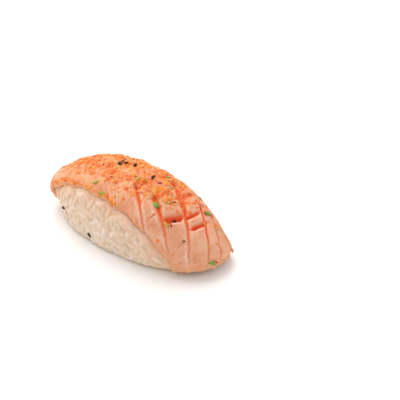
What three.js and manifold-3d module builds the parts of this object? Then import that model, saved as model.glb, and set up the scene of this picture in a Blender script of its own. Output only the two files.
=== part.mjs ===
// Salmon nigiri: a hand-pressed pad of sushi rice under a draped slice of salmon.
// The slice is scored and lightly seared, then sprinkled with orange spice crumbs,
// green herb flakes and black sesame.
//
// Millimetres, +Z up. +X runs along the piece to its front end, where the slice comes
// down to the table, and +Y points to its far side. The origin is on the table, under the
// middle of the whole piece.

import * as THREE from 'three';
import { mergeVertices } from 'three/addons/utils/BufferGeometryUtils.js';
import { MeshSurfaceSampler } from 'three/addons/math/MeshSurfaceSampler.js';
import Module from 'manifold-3d';

const wasm = await Module();
wasm.setup();

const DEGREE = Math.PI / 180;

// ---------------------------------------------------------------------------------------
// Driving sizes
// ---------------------------------------------------------------------------------------

// The slice's middle line in the XZ plane, from its back tip to its front end: a chain of
// arcs, each with its length and how far it turns downwards, in degrees.
const SPINE_START = { x: -37.6, z: 0.75, heading: 101 };
const SPINE_ARCS = [
  { length: 6.4, turn: -6.5 }, // the tip, hanging behind the rice
  { length: 3, turn: 66.5 }, // the bend over the rice's back end
  { length: 15.1, turn: 13 }, // the back slope
  { length: 15, turn: 20 },
  { length: 18, turn: 14 }, // the crest
  { length: 14, turn: 18.5 },
  { length: 11, turn: 15.5 }, // the shoulder
  { length: 16.5, turn: 13 }, // the front face
];

// Sizes of the slice that change along it: at its back end, its middle and its front end.
const SLICE_BEND = [26, 23, 15]; // radius of the arc that it makes across
const NEAR_REACH = [7.5, 14.7, 16.2]; // from the middle line to the near edge
const FAR_REACH = [9.8, 18, 10.2]; // and to the far edge
const SIDE_SHIFT = [0.6, 0.2, 3.4]; // of the middle line, across

const SLICE_THICK = 4.4;
const RIM_THICK = 1.2;
const RIM_SHARPNESS = 3.5; // the higher, the nearer to the edge the slice keeps its thickness
const BACK_TAPER = 12; // the length over which the slice thins to its back tip
const FRONT_TAPER = 4;
const TAPER_LEAD = 1.5; // how far outside the slice's ends the two tapers start
const BACK_CORNERS = { near: 3.1, far: 4.2 }; // how far the corners are cut back
const FRONT_CORNERS = { near: 6.4, far: 0.9 };
const EDGE_WAVE = { size: 0.35, pitch: 13 }; // the uneven hand-cut edges
const GRID_STEP = 3.2;

const GAP = 0.3; // clear space between the slice and the rice

// Knife cuts in the slice, as [along, across] places from its back end and middle line.
// gape is a cut's width at the surface where it starts and where it ends.
const CUTS = [
  // long cuts, which run slanting from the crest down to the near edge or the front end
  { from: [11, 4], to: [23, -8], gape: [0.9, 0.7], depth: 1.6 },
  { from: [30, -2.5], to: [36, -12.5], gape: [1.4, 1.1], depth: 2.0 },
  { from: [40, -6.2], to: [52, -15.3], gape: [0.8, 0.9], depth: 1.4 },
  { from: [52, -1.5], to: [70, -14.2], gape: [1.8, 0.9], depth: 2.9 },
  { from: [62.5, -4], to: [88, -14.3], gape: [2.1, 0.8], depth: 2.6 },
  { from: [63, 6.4], to: [95, -11.4], gape: [2.2, 1.0], depth: 2.8 },
  { from: [76, 6.6], to: [98, -6.2], gape: [1.3, 0.8], depth: 2.4 },
  { from: [81, 7.5], to: [98, -0.7], gape: [1.0, 0.9], depth: 2.4 },
  { from: [86.5, 8], to: [98.4, 5.2], gape: [0.9, 0.8], depth: 2.0 },
  // cross cuts, which open wide where the slice bends over its shoulder
  { from: [70.6, -12], to: [71, -7.6], gape: [0.6, 0.9], depth: 1.8 },
  { from: [74.6, -7.6], to: [77.8, -2.4], gape: [3.2, 3.8], depth: 2.4 },
  { from: [78.6, -2.9], to: [78.9, 4.2], gape: [2.0, 1.4], depth: 2.6 },
  { from: [82.6, -3.8], to: [83.3, 3.6], gape: [2.2, 1.4], depth: 2.6 },
  { from: [86.1, -11.2], to: [84.7, -6.6], gape: [0.6, 0.5], depth: 1.2 },
  { from: [71, 1.5], to: [71.3, 10.5], gape: [2.0, 1.0], depth: 2.4 },
  { from: [67.5, -1.5], to: [66.3, 5.5], gape: [1.4, 0.8], depth: 2.0 },
];

// The far flank carries the same slanting cuts at an even pitch.
const FAR_CUTS = {
  first: 14, pitch: 12.5, count: 4, run: 17, outer: 17, inner: 6.5, gape: [0.9, 1.3], depth: 2.3,
};
const CUT_FLOOR = 0.8; // what the deepest cut leaves of the slice's thickness
const CUT_RISE = 0.8; // how far the wedge that makes a cut stands out of the slice
const CUT_RUNOUT = { end: 0.25, rate: 4 }; // a cut's share at its ends, and how soon it is full

// The rice pad: a loaf whose sides bulge between a flat foot and its shoulders.
const PAD = { middle: [-0.6, -1.4], halfLength: 34.5, halfWidth: 15, height: 25.5 };
const PAD_FOOT = { length: 0.82, width: 0.95 }; // the foot's share of the full size
const PAD_BELLY = 0.22; // the share of the height at which the pad is widest
const PAD_SHOULDER = 3; // the higher, the squarer the shoulders above it
const PAD_SQUARE = 2.4; // 2 makes an ellipse of each level, and more squares it
const PAD_SLACK = 0.15; // a little more than the gap, under the slice's flat facets
const PAD_SWELL = 1.4; // how steeply the rice swells out again past the slice's edges
const PAD_LEVELS = [0, 2, 4.5, 7.5]; // the heights of the rings round its side
const PAD_HEART = 9.5; // the height of the point that the rings of its top are seen from
const PAD_DOME = 6; // rings over its top
const PAD_RING = 36; // points in a ring

// Cooked grains. vary is how much shorter the smallest are, and room is how far their
// middles keep from each other.
const GRAIN = {
  length: 5.8, width: 2.7, vary: 0.22, count: 230, room: 3.2, tries: 6000,
};
const GRAIN_REACH = 0.4; // the share of a grain's length from its middle to its end balls

// Black sesame. On the slice a seed has its place along and across, its turn and tilt in
// degrees, and how deep it sits: the sixth lies in the widest cross cut. On the rice it has
// its bearing round the pad and its height.
const SESAME = { length: 2.9, width: 1.7, thick: 1.1 };
const SEEDS_ON_SLICE = [
  [43.9, 0.1, -14, 0, 0],
  [43.1, 2.3, 70, -25, 0],
  [48.6, 2.7, 115, 0, 0],
  [58.9, 1.2, 105, 0, 0],
  [38.5, -2.5, 130, 0, 0.3],
  [77.2, -5.4, 35, 60, 1.4],
  [30, 14, 20, 0, 0],
  [64, 15, 120, 0, 0],
];
const SEEDS_ON_RICE = [
  { bearing: 226, height: 6.6, turn: 20 },
  { bearing: 258, height: 3.5, turn: -35 },
];

// Green herb flakes, as [along, across, size, turn].
const FLAKE = { width: 0.75, thick: 0.7 };
const FLAKES = [
  [14.4, 6.6, 1.5, 20], [17.5, 9.4, 1.4, 80], [23.2, 11.9, 1.8, 10], [42.3, -10, 1.9, 60],
  [48.5, -13.2, 1.8, 30], [45.5, -2.8, 1.2, 0], [57, -1.8, 1.3, 100], [52, 14, 1.8, 40],
  [68.8, -5.4, 2.6, 20], [80.6, 6.2, 2.2, 70], [73.8, 11.5, 1.4, 10], [96.4, 1.6, 2.2, 50],
  [73.6, -4.4, 1.2, 90], [27, 12.5, 1.6, 30], [60.9, 6.3, 1.5, 60], [84, 10, 1.6, 15],
];

// Orange spice crumbs, strewn over a band along the crest, the largest first.
const CRUMBS = {
  count: 104, largest: 1.5, smallest: 0.8, from: 14, to: 86, middle: 0.5, spread: 11.5,
};
const CRUMB_SHAPE = { long: 1.2, high: 0.9, sunk: 0.1 }; // as shares of a crumb's size

// ---------------------------------------------------------------------------------------
// Small helpers
// ---------------------------------------------------------------------------------------

// Repeatable random numbers from 0 to 1, by the mulberry32 rule.
function randomFrom(seed) {
  let state = seed;
  return () => {
    state = (state + 0x6d2b79f5) | 0;
    let mixed = Math.imul(state ^ (state >>> 15), 1 | state);
    mixed = (mixed + Math.imul(mixed ^ (mixed >>> 7), 61 | mixed)) ^ mixed;
    return ((mixed ^ (mixed >>> 14)) >>> 0) / 4294967296;
  };
}

// A smooth value through three sizes: at t = 0, 0.5 and 1.
function along([back, middle, front], t) {
  return back * (1 - t) * (1 - 2 * t) + 4 * middle * t * (1 - t) + front * t * (2 * t - 1);
}

function toSolid(geometry) {
  const bare = geometry.clone();
  bare.deleteAttribute('normal');
  bare.deleteAttribute('uv');
  const merged = mergeVertices(bare, 1e-4);
  return new wasm.Manifold(new wasm.Mesh({
    numProp: 3,
    vertProperties: new Float32Array(merged.attributes.position.array),
    triVerts: new Uint32Array(merged.index.array),
  }));
}

function toGeometry(solid) {
  const mesh = solid.getMesh();
  const geometry = new THREE.BufferGeometry();
  geometry.setAttribute('position', new THREE.BufferAttribute(mesh.vertProperties, 3));
  geometry.setIndex(new THREE.BufferAttribute(mesh.triVerts, 1));
  geometry.computeVertexNormals();
  return geometry;
}

const joined = (solids) => solids.reduce((whole, solid) => whole.add(solid));

// ---------------------------------------------------------------------------------------
// The drape: how a place on the flat slice lies in space
// ---------------------------------------------------------------------------------------

const SLICE_LENGTH = SPINE_ARCS.reduce((sum, arc) => sum + arc.length, 0);

// The spine's place and heading at a distance along it. Past an end its last arc goes on.
function spineAt(distance) {
  let { x, z } = SPINE_START;
  let heading = SPINE_START.heading * DEGREE;
  let left = distance;
  for (const [index, { length, turn }] of SPINE_ARCS.entries()) {
    const last = index === SPINE_ARCS.length - 1;
    const run = last ? left : Math.min(left, length);
    const curve = (-turn * DEGREE) / length;
    const next = heading + curve * run;
    x += (Math.sin(next) - Math.sin(heading)) / curve;
    z -= (Math.cos(next) - Math.cos(heading)) / curve;
    heading = next;
    left -= run;
    if (last || left <= 0) break;
  }
  return { x, z, heading };
}

// s runs along the slice, c across it to the far side, and n up from its underside.
function drape(s, c, n) {
  const t = s / SLICE_LENGTH;
  const { x, z, heading } = spineAt(s);
  const radius = along(SLICE_BEND, t);
  const angle = c / radius;
  const up = (radius + n) * Math.cos(angle) - radius;
  return new THREE.Vector3(
    x - Math.sin(heading) * up,
    along(SIDE_SHIFT, t) + (radius + n) * Math.sin(angle),
    z + Math.cos(heading) * up,
  );
}

const STATION_STEP = 0.5;
const STATION_REACH = 6; // how far past the slice's ends a point is still looked for
const STATIONS = [];
for (let s = -STATION_REACH; s <= SLICE_LENGTH + STATION_REACH; s += STATION_STEP) {
  STATIONS.push({ s, ...spineAt(s) });
}

// The other way round: where a point lies, as s, c and n, from the nearest station.
function undrape(point) {
  const away = ({ x, z }) => (point.x - x) ** 2 + (point.z - z) ** 2;
  const { s, x, z, heading } = STATIONS.reduce((best, next) => (away(next) < away(best) ? next : best));
  const radius = along(SLICE_BEND, s / SLICE_LENGTH);
  const up = radius - (point.x - x) * Math.sin(heading) + (point.z - z) * Math.cos(heading);
  const side = point.y - along(SIDE_SHIFT, s / SLICE_LENGTH);
  return { s, c: Math.atan2(side, up) * radius, n: Math.hypot(side, up) - radius };
}

// ---------------------------------------------------------------------------------------
// The slice
// ---------------------------------------------------------------------------------------

function reachAt(s, side) {
  const wave = EDGE_WAVE.size * Math.sin((s / EDGE_WAVE.pitch) * 2 * Math.PI);
  return along(side < 0 ? NEAR_REACH : FAR_REACH, s / SLICE_LENGTH) + wave;
}

// How far a place lies past the slice's nearest edge, or below 0 inside it.
const pastEdge = (s, c) => Math.max(Math.abs(c) - reachAt(s, c), -s, s - SLICE_LENGTH);

// The slice's ends at w, which is -1 on the near edge and 1 on the far edge.
const cornerCut = ({ near, far }, w) => (w < 0 ? near : far) * w * w;
const backEnd = (w) => cornerCut(BACK_CORNERS, w);
const frontEnd = (w) => SLICE_LENGTH - cornerCut(FRONT_CORNERS, w);

function thickness(s, w) {
  const across = Math.max(0, 1 - Math.abs(w) ** RIM_SHARPNESS);
  const back = THREE.MathUtils.smoothstep(s, -TAPER_LEAD, BACK_TAPER);
  const front = THREE.MathUtils.smoothstep(frontEnd(w) - s, -TAPER_LEAD, FRONT_TAPER);
  return RIM_THICK + (SLICE_THICK - RIM_THICK) * across * back * front;
}

const topAt = (s, c) => thickness(s, c / reachAt(s, c));

// A closed solid between an upper and a lower grid of points.
function closedSheet(rows, columns, upper, lower) {
  const points = [];
  for (const layer of [upper, lower]) {
    for (let i = 0; i <= rows; i++) {
      for (let j = 0; j <= columns; j++) points.push(...layer(i / rows, j / columns).toArray());
    }
  }
  const width = columns + 1;
  const under = (rows + 1) * width;
  const faces = [];
  const quad = (a, b, c, d) => faces.push(a, b, c, a, c, d);
  for (let i = 0; i < rows; i++) {
    for (let j = 0; j < columns; j++) {
      const k = i * width + j;
      quad(k, k + width, k + width + 1, k + 1);
      quad(under + k, under + k + 1, under + k + width + 1, under + k + width);
    }
    const near = i * width;
    const far = near + columns;
    quad(near, under + near, under + near + width, near + width);
    quad(far, far + width, under + far + width, under + far);
  }
  for (let j = 0; j < columns; j++) {
    const front = rows * width + j;
    quad(j, j + 1, under + j + 1, under + j);
    quad(front, under + front, under + front + 1, front + 1);
  }
  const geometry = new THREE.BufferGeometry();
  geometry.setAttribute('position', new THREE.Float32BufferAttribute(points, 3));
  geometry.setIndex(faces);
  return geometry;
}

// The slice before it is cut, or that shape grown by a margin on every side.
function sliceBlank(grow) {
  const rows = Math.round(SLICE_LENGTH / GRID_STEP);
  const columns = Math.round((NEAR_REACH[1] + FAR_REACH[1]) / GRID_STEP);
  const layer = (raise) => (a, b) => {
    const w = b * 2 - 1;
    const s = backEnd(w) + (frontEnd(w) - backEnd(w)) * a;
    return drape(s + grow * (2 * a - 1), reachAt(s, w) * w + grow * w, raise(s, w));
  };
  const upper = layer((s, w) => thickness(s, w) + grow);
  const lower = layer(() => -grow);
  return toSolid(closedSheet(rows, columns, upper, lower));
}

// A wedge that leaves a knife cut where it is taken away from the slice: a chain of
// triangles, each with two corners above the surface and one at the bottom of the cut.
function cutWedge({ from, to, gape, depth }) {
  const run = [to[0] - from[0], to[1] - from[1]];
  const length = Math.hypot(...run);
  const across = [-run[1] / length, run[0] / length];
  const steps = Math.max(3, Math.round(length / GRID_STEP));
  const points = [];
  for (let i = 0; i <= steps; i++) {
    const t = i / steps;
    const place = [from[0] + run[0] * t, from[1] + run[1] * t];
    const share = Math.min(1, CUT_RUNOUT.end + CUT_RUNOUT.rate * Math.min(t, 1 - t));
    const half = (THREE.MathUtils.lerp(gape[0], gape[1], t) / 2) * share;
    const top = topAt(...place);
    for (const side of [-1, 1]) {
      const spread = side * half * (1 + CUT_RISE / depth);
      const corner = [place[0] + across[0] * spread, place[1] + across[1] * spread];
      points.push(...drape(...corner, top + CUT_RISE).toArray());
    }
    points.push(...drape(...place, Math.max(top - depth * share, CUT_FLOOR)).toArray());
  }
  const faces = [0, 1, 2];
  for (let k = 0; k < steps * 3; k += 3) {
    for (const [left, right] of [[1, 0], [2, 1], [0, 2]]) {
      faces.push(k + left, k + right, k + 3 + right, k + left, k + 3 + right, k + 3 + left);
    }
  }
  const end = steps * 3;
  faces.push(end + 1, end, end + 2);
  const geometry = new THREE.BufferGeometry();
  geometry.setAttribute('position', new THREE.Float32BufferAttribute(points, 3));
  geometry.setIndex(faces);
  return toSolid(geometry);
}

function farCuts() {
  const { first, pitch, count, run, outer, inner, gape, depth } = FAR_CUTS;
  return Array.from({ length: count }, (_, k) => {
    const start = first + pitch * k;
    return { from: [start, outer], to: [start + run, inner], gape, depth };
  });
}

const ALL_CUTS = [...CUTS, ...farCuts()];

function cutSlice() {
  return ALL_CUTS.reduce((slice, cut) => slice.subtract(cutWedge(cut)), sliceBlank(0));
}

// ---------------------------------------------------------------------------------------
// The rice
// ---------------------------------------------------------------------------------------

// The pad's share of its full length or width at a height, from its foot's share.
function padShare(height, foot) {
  const belly = PAD.height * PAD_BELLY;
  if (height < belly) return foot + (1 - foot) * Math.sqrt(1 - (1 - height / belly) ** 2);
  const rise = (height - belly) / (PAD.height - belly);
  return Math.sqrt(Math.max(0, 1 - rise ** PAD_SHOULDER));
}

// Whether a point is inside the pad: over its foot, within its bulging sides and pressed
// under the slice. Past the slice's edges the rice swells out again.
function insidePad(point) {
  if (point.z < 0) return false;
  const halfLength = PAD.halfLength * padShare(point.z, PAD_FOOT.length);
  const halfWidth = PAD.halfWidth * padShare(point.z, PAD_FOOT.width);
  const x = Math.abs(point.x - PAD.middle[0]) / halfLength;
  const y = Math.abs(point.y - PAD.middle[1]) / halfWidth;
  if (x ** PAD_SQUARE + y ** PAD_SQUARE > 1) return false;
  const { s, c, n } = undrape(point);
  const past = Math.max(0, pastEdge(s, c) - GAP);
  return n < -GAP - PAD_SLACK + PAD_SWELL * past;
}

// How far the pad reaches from a point inside it.
function padEdge(from, direction) {
  let inner = 0;
  let outer = 2;
  while (outer - inner > 1e-4) {
    const middle = (inner + outer) / 2;
    if (insidePad(from.clone().addScaledVector(direction, middle))) inner = middle;
    else outer = middle;
  }
  return from.clone().addScaledVector(direction, inner);
}

// The way out from the pad's axis at a bearing, in radians, tilted up by an angle.
function padWay(bearing, tilt) {
  return new THREE.Vector3(
    PAD.halfLength * Math.cos(tilt) * Math.cos(bearing),
    PAD.halfWidth * Math.cos(tilt) * Math.sin(bearing),
    (PAD.height - PAD_HEART) * Math.sin(tilt),
  );
}

const padAxis = (height) => new THREE.Vector3(...PAD.middle, height);

function padRing(height, tilt) {
  return Array.from({ length: PAD_RING }, (_, k) => (
    padEdge(padAxis(height), padWay((k / PAD_RING) * 2 * Math.PI, tilt))
  ));
}

// Rings of points up the pad's side and over its top, with a point to close each end.
function ricePad() {
  const rings = PAD_LEVELS.map((height) => padRing(height, 0));
  for (let k = 0; k < PAD_DOME; k++) rings.push(padRing(PAD_HEART, (k / PAD_DOME) * (Math.PI / 2)));
  const top = padEdge(padAxis(PAD_HEART), new THREE.Vector3(0, 0, PAD.height));
  const points = [...rings.flat(), padAxis(0), top];
  const faces = [];
  const last = rings.length - 1;
  const footCentre = rings.length * PAD_RING;
  for (let k = 0; k < PAD_RING; k++) {
    const next = (k + 1) % PAD_RING;
    faces.push(footCentre, next, k);
    faces.push(footCentre + 1, last * PAD_RING + k, last * PAD_RING + next);
    for (let r = 0; r < last; r++) {
      const low = r * PAD_RING;
      const high = low + PAD_RING;
      faces.push(low + k, low + next, high + next, low + k, high + next, high + k);
    }
  }
  const geometry = new THREE.BufferGeometry().setFromPoints(points);
  geometry.setIndex(faces);
  return toSolid(geometry);
}

// ---------------------------------------------------------------------------------------
// Grains, seeds, flakes and crumbs
// ---------------------------------------------------------------------------------------

// A solid made round its own middle, with its length along X, its width along Y and its
// thickness along Z, is laid at a place: its length along one direction, its top another.
function laid(geometry, place, length, top) {
  const side = new THREE.Vector3().crossVectors(top, length).normalize();
  const flat = new THREE.Vector3().crossVectors(side, top).normalize();
  const turned = new THREE.Matrix4().makeBasis(flat, side, top.clone().normalize());
  return toSolid(geometry.clone().applyMatrix4(turned.setPosition(place)));
}

function oval(length, width, thick) {
  return new THREE.SphereGeometry(0.5, 5, 3).rotateZ(Math.PI / 2).scale(length, width, thick);
}

function speck(length, width, thick) {
  return new THREE.OctahedronGeometry(0.5).scale(length, width, thick);
}

const seed = () => oval(SESAME.length, SESAME.width, SESAME.thick);

// The frame of a place on the slice's top: the point, the way along it and the way out.
function onTop(s, c, sunk) {
  const top = topAt(s, c);
  const point = drape(s, c, top);
  const out = drape(s, c, top + 1).sub(point).normalize();
  const way = drape(s + 1, c, topAt(s + 1, c)).sub(point).normalize();
  return { place: drape(s, c, top - sunk), out, way };
}

function distanceToCut([s, c], { from, to }) {
  const run = [to[0] - from[0], to[1] - from[1]];
  const t = ((s - from[0]) * run[0] + (c - from[1]) * run[1]) / (run[0] ** 2 + run[1] ** 2);
  const held = THREE.MathUtils.clamp(t, 0, 1);
  return Math.hypot(s - from[0] - run[0] * held, c - from[1] - run[1] * held);
}

const clearOfCuts = (place, room) => (
  ALL_CUTS.every((cut) => distanceToCut(place, cut) > Math.max(...cut.gape) / 2 + room)
);

function crumbs() {
  const random = randomFrom(11);
  const pieces = [];
  while (pieces.length < CRUMBS.count) {
    const size = THREE.MathUtils.lerp(CRUMBS.largest, CRUMBS.smallest, pieces.length / CRUMBS.count);
    const spread = (random() + random() + random()) / 1.5 - 1; // mostly near 0, from -1 to 1
    const s = THREE.MathUtils.lerp(CRUMBS.from, CRUMBS.to, random());
    const c = CRUMBS.middle + CRUMBS.spread * spread;
    const turn = random() * Math.PI;
    if (!clearOfCuts([s, c], size / 2)) continue;
    const { place, out, way } = onTop(s, c, size * CRUMB_SHAPE.sunk);
    const crumb = speck(size * CRUMB_SHAPE.long, size, size * CRUMB_SHAPE.high);
    pieces.push(laid(crumb, place, way.applyAxisAngle(out, turn), out));
  }
  return pieces;
}

function flakes() {
  return FLAKES.map(([s, c, size, turn]) => {
    const { place, out, way } = onTop(s, c, 0);
    const flake = speck(size, size * FLAKE.width, FLAKE.thick);
    return laid(flake, place, way.applyAxisAngle(out, turn * DEGREE), out);
  });
}

function seedsOnSlice() {
  return SEEDS_ON_SLICE.map(([s, c, turn, tilt, sunk]) => {
    const { place, out, way } = onTop(s, c, sunk);
    const length = way.applyAxisAngle(out, turn * DEGREE);
    const side = new THREE.Vector3().crossVectors(out, length).normalize();
    length.applyAxisAngle(side, tilt * DEGREE);
    out.applyAxisAngle(side, tilt * DEGREE);
    return laid(seed(), place, length, out);
  });
}

// The frame of a place on the pad's side: the point, the way round it and the way out.
function onPad(bearing, height) {
  const at = (turn, z) => padEdge(padAxis(z), padWay(turn, 0));
  const place = at(bearing, height);
  const way = at(bearing + DEGREE, height).sub(place).normalize();
  const up = at(bearing, height + 1).sub(place);
  return { place, way, out: new THREE.Vector3().crossVectors(way, up).normalize() };
}

const SEED_PLACES = SEEDS_ON_RICE.map(({ bearing, height, turn }) => (
  { ...onPad(bearing * DEGREE, height), turn: turn * DEGREE }
));

function seedsOnRice() {
  return SEED_PLACES.map(({ place, way, out, turn }) => (
    laid(seed(), place, way.clone().applyAxisAngle(out, turn), out)
  ));
}

// Whether a ball at a point would reach into the slice or the gap round it.
function meetsSlice(point, radius) {
  const { s, c, n } = undrape(point);
  return pastEdge(s, c) < radius + GAP && n > -GAP - radius;
}

// Grains lie flat on the pad in every direction, half sunk, wherever the slice leaves it
// bare. One that would reach the slice, the table, a seed or a neighbour is left out.
function grains(pad) {
  const random = randomFrom(5);
  const sampler = new MeshSurfaceSampler(new THREE.Mesh(toGeometry(pad)));
  sampler.setRandomGenerator(random).build();
  const taken = SEED_PLACES.map(({ place }) => place);
  const pieces = [];
  for (let tries = 0; tries < GRAIN.tries && pieces.length < GRAIN.count; tries++) {
    const middle = new THREE.Vector3();
    const out = new THREE.Vector3();
    sampler.sample(middle, out);
    const turn = random() * Math.PI;
    const size = 1 - GRAIN.vary * random();
    const radius = (GRAIN.width * size) / 2;
    if (middle.z < radius) continue;
    if (taken.some((other) => other.distanceTo(middle) < GRAIN.room)) continue;
    const level = new THREE.Vector3(-out.y, out.x, 0).normalize();
    const length = level.applyAxisAngle(out, turn);
    const balls = [-GRAIN_REACH, 0, GRAIN_REACH].map((share) => (
      middle.clone().addScaledVector(length, share * GRAIN.length * size)
    ));
    if (balls.some((ball) => ball.z < radius || meetsSlice(ball, radius))) continue;
    taken.push(middle);
    const grain = oval(GRAIN.length * size, GRAIN.width * size, GRAIN.width * size);
    pieces.push(laid(grain, middle, length, out));
  }
  return pieces;
}

// ---------------------------------------------------------------------------------------
// The two parts
// ---------------------------------------------------------------------------------------

function part(name, solid, material) {
  const mesh = new THREE.Mesh(toGeometry(solid), material);
  mesh.name = name;
  return mesh;
}

const matte = (color, roughness) => (
  new THREE.MeshStandardMaterial({ color, roughness, metalness: 0 })
);

const pad = ricePad().subtract(sliceBlank(GAP));
const rice = joined([pad, ...seedsOnRice(), ...grains(pad)]);
const salmon = joined([cutSlice(), ...seedsOnSlice(), ...flakes(), ...crumbs()]);

const nigiri = new THREE.Group();
nigiri.add(
  part('rice', rice, matte('#efe6d8', 0.5)),
  part('salmon', salmon, matte('#eda884', 0.42)),
);

export default nigiri;
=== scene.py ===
# %% [markdown]
# # Salmon nigiri
#
# A piece of nigiri is a pad of sushi rice, pressed by hand, with a slice of raw fish draped
# over it. This one is *aburi*: the cook scored the slice with a knife, passed a flame over
# it and strewed it with orange spice, green herb and black sesame.
#
# The construction model gives the true sizes. Here each of its two solids gets a finer
# piece in its place, built from the same driving sizes, and the toppings get pieces of
# their own so that each can have its own colour.

# %% Load the construction model
import math
from collections import namedtuple

import bpy
import numpy as np
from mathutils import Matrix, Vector, kdtree, noise


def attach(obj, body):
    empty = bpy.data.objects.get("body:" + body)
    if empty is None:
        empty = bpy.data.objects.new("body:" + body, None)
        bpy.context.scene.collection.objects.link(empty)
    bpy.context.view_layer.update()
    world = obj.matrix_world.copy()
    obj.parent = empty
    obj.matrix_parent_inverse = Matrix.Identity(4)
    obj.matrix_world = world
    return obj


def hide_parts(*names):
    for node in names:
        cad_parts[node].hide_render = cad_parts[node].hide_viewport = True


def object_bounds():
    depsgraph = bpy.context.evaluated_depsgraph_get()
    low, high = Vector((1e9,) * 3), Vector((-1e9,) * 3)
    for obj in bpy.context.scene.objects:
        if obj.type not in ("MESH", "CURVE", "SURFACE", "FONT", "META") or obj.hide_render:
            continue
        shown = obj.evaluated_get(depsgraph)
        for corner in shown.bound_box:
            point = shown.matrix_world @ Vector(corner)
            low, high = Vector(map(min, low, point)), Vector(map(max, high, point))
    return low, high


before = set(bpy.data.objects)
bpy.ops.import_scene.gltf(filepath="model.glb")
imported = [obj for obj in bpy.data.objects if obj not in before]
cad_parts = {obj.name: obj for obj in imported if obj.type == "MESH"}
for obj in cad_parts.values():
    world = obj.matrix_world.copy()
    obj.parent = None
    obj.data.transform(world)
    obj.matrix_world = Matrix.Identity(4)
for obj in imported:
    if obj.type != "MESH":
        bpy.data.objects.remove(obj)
cad_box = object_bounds()

# %% [markdown]
# ## The camera
#
# A diner sees the piece from the side and a little from above. A camera at that place with a
# long lens, half a metre off, keeps the piece from bulging towards the viewer. It is placed
# by where it looks from and by the scale that it has at the piece, which is easier to reason
# about than a focal length.

# %% Camera
MM = 0.001
VIEW_TURN = math.radians(43)
VIEW_HEIGHT = math.radians(31)
VIEW_DISTANCE = 520 * MM
PICTURE_WIDTH = 400
PIXELS_PER_MM = 2.6
SENSOR_WIDTH = 36
ORIGIN_IN_PICTURE = (136.0, 233.4)  # where the frame's origin lies, in pixels


def place_camera():
    away = Vector((
        math.sin(VIEW_TURN) * math.cos(VIEW_HEIGHT),
        -math.cos(VIEW_TURN) * math.cos(VIEW_HEIGHT),
        math.sin(VIEW_HEIGHT),
    ))
    right = Vector((math.cos(VIEW_TURN), math.sin(VIEW_TURN), 0))
    up = away.cross(right)
    half = PICTURE_WIDTH / 2
    aside = (half - ORIGIN_IN_PICTURE[0]) / PIXELS_PER_MM * MM
    above = (ORIGIN_IN_PICTURE[1] - half) / PIXELS_PER_MM * MM
    bpy.ops.object.camera_add(location=right * aside + up * above + away * VIEW_DISTANCE)
    camera = bpy.context.object
    camera.rotation_euler = away.to_track_quat("Z", "Y").to_euler()
    picture_in_metres = PICTURE_WIDTH / PIXELS_PER_MM * MM
    camera.data.sensor_width = SENSOR_WIDTH
    camera.data.lens = SENSOR_WIDTH * VIEW_DISTANCE / picture_in_metres
    camera.data.clip_start = 0.01
    bpy.context.scene.camera = camera
    return camera


camera = place_camera()
print("lens", round(camera.data.lens, 1), "mm")

# %% [markdown]
# ## Two helpers for materials
#
# Colours are easiest to name as the hex values of a colour picker, but the renderer mixes
# light, so it needs them linear. One function turns them. The other adds any node, fills in
# its settings and its ramp, and sets or links its inputs. It gives one output socket, so
# that nodes can be written inside each other, from the surface back to where they start.

# %% Colour and node helpers
def tint(hex_colour):
    """A colour picker's hex value as the linear red, green, blue and alpha of a shader."""
    shares = [int(hex_colour[k:k + 2], 16) / 255 for k in (1, 3, 5)]
    return [s / 12.92 if s <= 0.04045 else ((s + 0.055) / 1.055) ** 2.4 for s in shares] + [1]


def add(tree, kind, settings, inputs, stops=(), give=0):
    """Adds a node and gives one of its outputs.

    An input is a number, a hex colour, or another node's output, which is then linked.
    Stops are a colour ramp's places with their hex colours.
    """
    node = tree.nodes.new("ShaderNode" + kind)
    for name, value in settings.items():
        setattr(node, name, value)
    for k, (place, colour) in enumerate(stops):
        if k > 1:
            node.color_ramp.elements.new(1)
        node.color_ramp.elements[k].position = place
        node.color_ramp.elements[k].color = tint(colour)
    for name, value in inputs.items():
        if isinstance(value, bpy.types.NodeSocket):
            tree.links.new(value, node.inputs[name])
        else:
            node.inputs[name].default_value = tint(value) if isinstance(value, str) else value
    return node.outputs[give]


def new_material(name):
    """An empty material, with its node tree and its surface shader."""
    material = bpy.data.materials.new(name)
    material.use_nodes = True
    return material, material.node_tree, material.node_tree.nodes["Principled BSDF"]


# The sockets of a Mix node for colours are given by number, because its modes share names
COLOURS = {"data_type": "RGBA"}
SHARE, FIRST, SECOND, MIXED = 0, 6, 7, 2

# %% [markdown]
# ## The drape
#
# The slice was cut flat on a board and then laid over the rice. It helps to think of it in
# the same way: each of its points has a place along the slice, a place across it and a
# height above its underside, all in millimetres, and one function drapes such a point over
# the pad. The slice's middle line is a chain of arcs that starts at the tip behind the rice
# and comes down to the table in front. Across, the slice makes an arc of its own. All of
# these sizes are those of the construction model.

# %% Driving sizes of the slice
SPINE_START = (-37.6, 0.75, math.radians(101))
SPINE_ARCS = [(6.4, -6.5), (3, 66.5), (15.1, 13), (15, 20), (18, 14), (14, 18.5), (11, 15.5), (16.5, 13)]
SLICE_BEND = (26, 23, 15)
NEAR_REACH = (7.5, 14.7, 16.2)
FAR_REACH = (9.8, 18, 10.2)
SIDE_SHIFT = (0.6, 0.2, 3.4)
SLICE_THICK = 4.4
RIM_THICK = 1.2
RIM_SHARPNESS = 3.5
BACK_TAPER, FRONT_TAPER, TAPER_LEAD = 12, 4, 1.5
BACK_CORNERS = (3.1, 4.2)
FRONT_CORNERS = (6.4, 0.9)
EDGE_WAVE, EDGE_PITCH = 0.35, 13
SLICE_LENGTH = sum(length for length, _ in SPINE_ARCS)


def along(sizes, t):
    """A smooth value through three sizes, at t = 0, 0.5 and 1."""
    back, middle, front = sizes
    return back * (1 - t) * (1 - 2 * t) + 4 * middle * t * (1 - t) + front * t * (2 * t - 1)


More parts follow.
